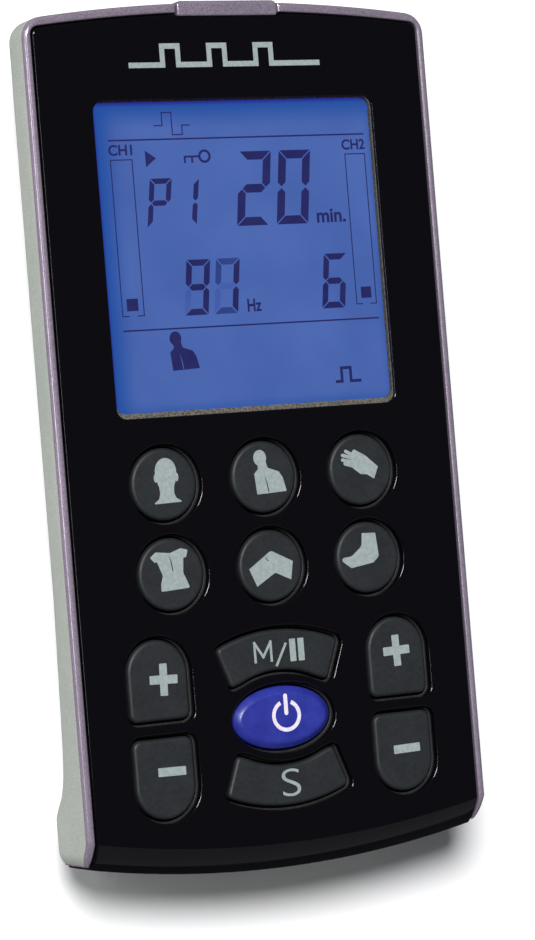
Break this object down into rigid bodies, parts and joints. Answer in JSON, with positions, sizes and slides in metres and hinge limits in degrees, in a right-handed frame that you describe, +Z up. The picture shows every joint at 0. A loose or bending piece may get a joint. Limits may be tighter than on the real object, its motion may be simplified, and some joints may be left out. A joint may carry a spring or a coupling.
{
  "type": "TENS unit",
  "caption": "Hand-held nerve stimulator: flat two-shell case, glossy face with backlit display and push keys, lead sockets on the top end, sliding battery door.",
  "frame": {"origin": "middle of the footprint, on the surface that the unit lies on", "axes": "+X across the width, +Y along the length towards the lead sockets, +Z up out of the face"},
  "size_m": [0.062, 0.121, 0.022],
  "materials": {
    "housing_plastic": "satin greenish-silver painted plastic",
    "silver_plastic": "satin lavender-silver painted plastic",
    "gloss_black": "high gloss",
    "key_grey": "fine satin",
    "key_blue": "soft gloss",
    "seal_rubber": "matt",
    "clear_window": "polished clear acrylic",
    "lcd_glass": "blue backlit display face",
    "light_guide": "frosted acrylic",
    "white_plastic": "moulded",
    "black_plastic": "moulded",
    "silicone": "translucent silicone",
    "circuit_board": "green solder mask",
    "transformer_tape": "yellow tape over ferrite",
    "capacitor_sleeve": "shrink sleeve",
    "brass": "plated",
    "steel": "zinc plated",
    "battery_wrap": "shrink wrap",
    "foam": "open cell foam"
  },
  "bodies": {
    "case": {"rear_housing": "housing_plastic", "front_bezel": "silver_plastic", "faceplate": "gloss_black", "window_gasket": "seal_rubber", "display_window": "clear_window", "lcd_glass": "lcd_glass", "lcd_backlight": "light_guide", "lcd_connector": "silicone", "lcd_frame": "white_plastic", "main_circuit_board": "circuit_board", "keypad_mat": "silicone", "output_transformer_1": "transformer_tape", "output_transformer_2": "transformer_tape", "microcontroller": "black_plastic", "buzzer": "black_plastic", "capacitor_1": "capacitor_sleeve", "capacitor_2": "capacitor_sleeve", "capacitor_3": "capacitor_sleeve", "output_socket_1": "black_plastic", "output_socket_2": "black_plastic", "socket_contact_1": "brass", "socket_contact_2": "brass", "charging_socket": "black_plastic", "port_cover_pin": "steel", "battery_pack": "battery_wrap", "battery_pad": "foam", "battery_contact_plus": "brass", "battery_contact_minus": "brass", "case_screw_1": "steel", "case_screw_2": "steel", "case_screw_3": "steel", "case_screw_4": "steel", "board_screw_1": "steel", "board_screw_2": "steel"},
    "key_head": {"key_head": "key_grey"},
    "key_shoulder": {"key_shoulder": "key_grey"},
    "key_hand": {"key_hand": "key_grey"},
    "key_back": {"key_back": "key_grey"},
    "key_knee": {"key_knee": "key_grey"},
    "key_foot": {"key_foot": "key_grey"},
    "key_ch1_up": {"key_ch1_up": "key_grey"},
    "key_ch1_down": {"key_ch1_down": "key_grey"},
    "key_ch2_up": {"key_ch2_up": "key_grey"},
    "key_ch2_down": {"key_ch2_down": "key_grey"},
    "key_mode": {"key_mode": "key_grey"},
    "key_set": {"key_set": "key_grey"},
    "key_power": {"key_power": "key_blue"},
    "battery_door": {"battery_door": "housing_plastic"},
    "port_cover": {"port_cover": "silver_plastic"}
  },
  "joints": [
    {"name": "key_head_press", "type": "slide", "parent": "case", "child": "key_head", "axis": [0, 0, -1], "range_m": [0, 0.0007], "stiffness_N_per_m": 800, "springref_m": -0.0005},
    {"name": "key_shoulder_press", "type": "slide", "parent": "case", "child": "key_shoulder", "axis": [0, 0, -1], "range_m": [0, 0.0007], "stiffness_N_per_m": 800, "springref_m": -0.0005},
    {"name": "key_hand_press", "type": "slide", "parent": "case", "child": "key_hand", "axis": [0, 0, -1], "range_m": [0, 0.0007], "stiffness_N_per_m": 800, "springref_m": -0.0005},
    {"name": "key_back_press", "type": "slide", "parent": "case", "child": "key_back", "axis": [0, 0, -1], "range_m": [0, 0.0007], "stiffness_N_per_m": 800, "springref_m": -0.0005},
    {"name": "key_knee_press", "type": "slide", "parent": "case", "child": "key_knee", "axis": [0, 0, -1], "range_m": [0, 0.0007], "stiffness_N_per_m": 800, "springref_m": -0.0005},
    {"name": "key_foot_press", "type": "slide", "parent": "case", "child": "key_foot", "axis": [0, 0, -1], "range_m": [0, 0.0007], "stiffness_N_per_m": 800, "springref_m": -0.0005},
    {"name": "key_ch1_up_press", "type": "slide", "parent": "case", "child": "key_ch1_up", "axis": [0, 0, -1], "range_m": [0, 0.0007], "stiffness_N_per_m": 800, "springref_m": -0.0005},
    {"name": "key_ch1_down_press", "type": "slide", "parent": "case", "child": "key_ch1_down", "axis": [0, 0, -1], "range_m": [0, 0.0007], "stiffness_N_per_m": 800, "springref_m": -0.0005},
    {"name": "key_ch2_up_press", "type": "slide", "parent": "case", "child": "key_ch2_up", "axis": [0, 0, -1], "range_m": [0, 0.0007], "stiffness_N_per_m": 800, "springref_m": -0.0005},
    {"name": "key_ch2_down_press", "type": "slide", "parent": "case", "child": "key_ch2_down", "axis": [0, 0, -1], "range_m": [0, 0.0007], "stiffness_N_per_m": 800, "springref_m": -0.0005},
    {"name": "key_mode_press", "type": "slide", "parent": "case", "child": "key_mode", "axis": [0, 0, -1], "range_m": [0, 0.0007], "stiffness_N_per_m": 800, "springref_m": -0.0005},
    {"name": "key_set_press", "type": "slide", "parent": "case", "child": "key_set", "axis": [0, 0, -1], "range_m": [0, 0.0007], "stiffness_N_per_m": 800, "springref_m": -0.0005},
    {"name": "key_power_press", "type": "slide", "parent": "case", "child": "key_power", "axis": [0, 0, -1], "range_m": [0, 0.0007], "stiffness_N_per_m": 800, "springref_m": -0.0005},
    {"name": "battery_door_slide", "type": "slide", "parent": "case", "child": "battery_door", "axis": [0, -1, 0], "range_m": [0, 0.062]},
    {"name": "port_cover_swing", "type": "hinge", "parent": "case", "child": "port_cover", "pos_m": [0, 0.0593, 0.0046], "axis": [-1, 0, 0], "range_deg": [0, 95]}
  ]
}
